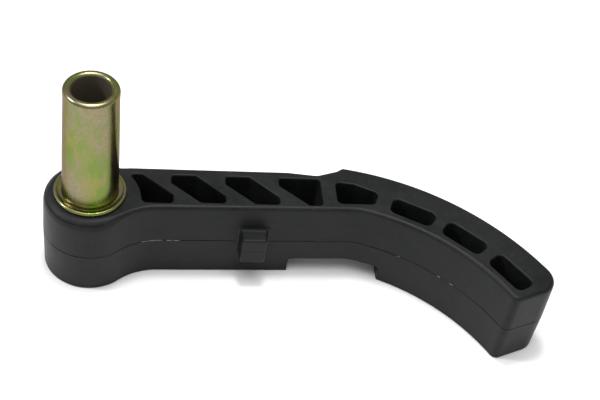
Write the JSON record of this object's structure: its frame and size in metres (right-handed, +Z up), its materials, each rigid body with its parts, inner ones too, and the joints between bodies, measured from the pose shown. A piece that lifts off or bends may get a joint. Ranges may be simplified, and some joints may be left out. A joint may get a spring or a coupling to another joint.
{
  "type": "winch handle",
  "caption": "Curved moulded lever arm with lightening pockets, a side lug and an underside notch, turning on a collared steel sleeve that stands out of its round boss.",
  "frame": {"origin": "centre of the bounding box, on the flat underside that the handle rests on", "axes": "+X along the neck from the sleeve to the grip end, +Z up along the sleeve, +Y towards the outside of the bend"},
  "size_m": [0.2124, 0.075, 0.097],
  "materials": {
    "moulded_nylon": "black glass-filled nylon, fine satin moulded surface",
    "zinc_plated_steel": "yellow passivated zinc plate, semi-bright with pink and green tints"
  },
  "bodies": {
    "root": {"lever_arm": "moulded_nylon", "pivot_sleeve": "zinc_plated_steel", "sleeve_collar": "zinc_plated_steel"}
  },
  "joints": []
}
